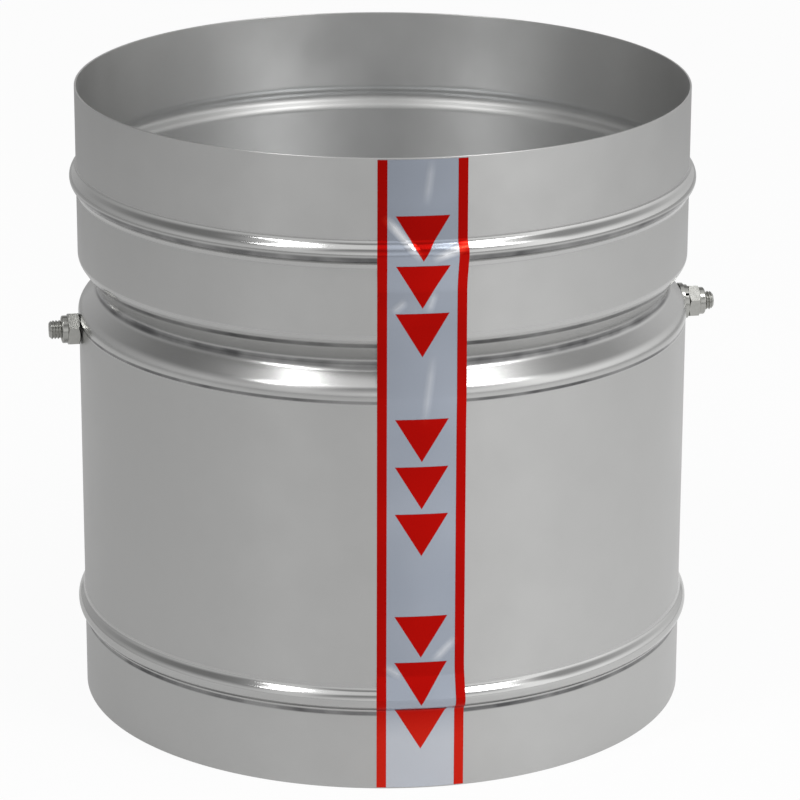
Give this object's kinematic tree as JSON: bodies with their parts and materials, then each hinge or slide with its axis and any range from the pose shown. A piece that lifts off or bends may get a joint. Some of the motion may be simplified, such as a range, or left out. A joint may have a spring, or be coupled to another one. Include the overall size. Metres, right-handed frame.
{
  "type": "round duct backdraft damper",
  "caption": "Round sheet-metal backdraft damper: beaded sleeve with sprung half-round flaps on a cross axle, opening with the flow and closing against it; arrow label shows the flow direction.",
  "frame": {"origin": "centre of the lower (outlet) end of the sleeve, on its axis", "axes": "+Z along the sleeve towards the inlet end, X along the flap axle, the label near -Y"},
  "size_m": [0.1769, 0.1629, 0.164],
  "materials": {
    "sheet_steel": "satin rolled sheet, burnished on the beads",
    "zinc_steel": "bright zinc plate",
    "nylon": "natural nylon",
    "sleeve_plastic": "matt",
    "flap_aluminium": "mill finish",
    "strap_steel": "galvanised",
    "rivet_aluminium": "plain",
    "spring_steel": "drawn wire",
    "label_film": "silver film",
    "label_red": "printed red"
  },
  "bodies": {
    "housing": {"casing": "sheet_steel", "axle": "zinc_steel", "left_lock_nut": "zinc_steel", "right_lock_nut": "zinc_steel", "left_nut_insert": "nylon", "right_nut_insert": "nylon", "right_plain_washer": "zinc_steel", "right_split_washer": "zinc_steel", "left_inner_washer": "zinc_steel", "right_inner_washer": "zinc_steel", "left_inner_nut": "zinc_steel", "right_inner_nut": "zinc_steel", "left_spacer_sleeve": "sleeve_plastic", "right_spacer_sleeve": "sleeve_plastic", "closing_spring": "spring_steel", "flow_label": "label_film", "label_borders": "label_red", "label_arrows": "label_red"},
    "front_flap": {"front_flap": "flap_aluminium", "front_hinge_left": "strap_steel", "front_hinge_right": "strap_steel", "front_rivets": "rivet_aluminium"},
    "rear_flap": {"rear_flap": "flap_aluminium", "rear_hinge_left": "strap_steel", "rear_hinge_right": "strap_steel", "rear_rivets": "rivet_aluminium"}
  },
  "joints": [
    {"name": "front_flap_hinge", "type": "hinge", "parent": "housing", "child": "front_flap", "pos_m": [0, 0, 0.1005], "axis": [1, 0, 0], "range_deg": [0, 85], "stiffness_Nm_per_rad": 0.005, "springref_deg": -126.05, "deforming": ["closing_spring"]},
    {"name": "rear_flap_hinge", "type": "hinge", "parent": "housing", "child": "rear_flap", "pos_m": [0, 0, 0.1005], "axis": [-1, 0, 0], "range_deg": [0, 85], "stiffness_Nm_per_rad": 0.005, "springref_deg": -126.05, "deforming": ["closing_spring"]}
  ]
}
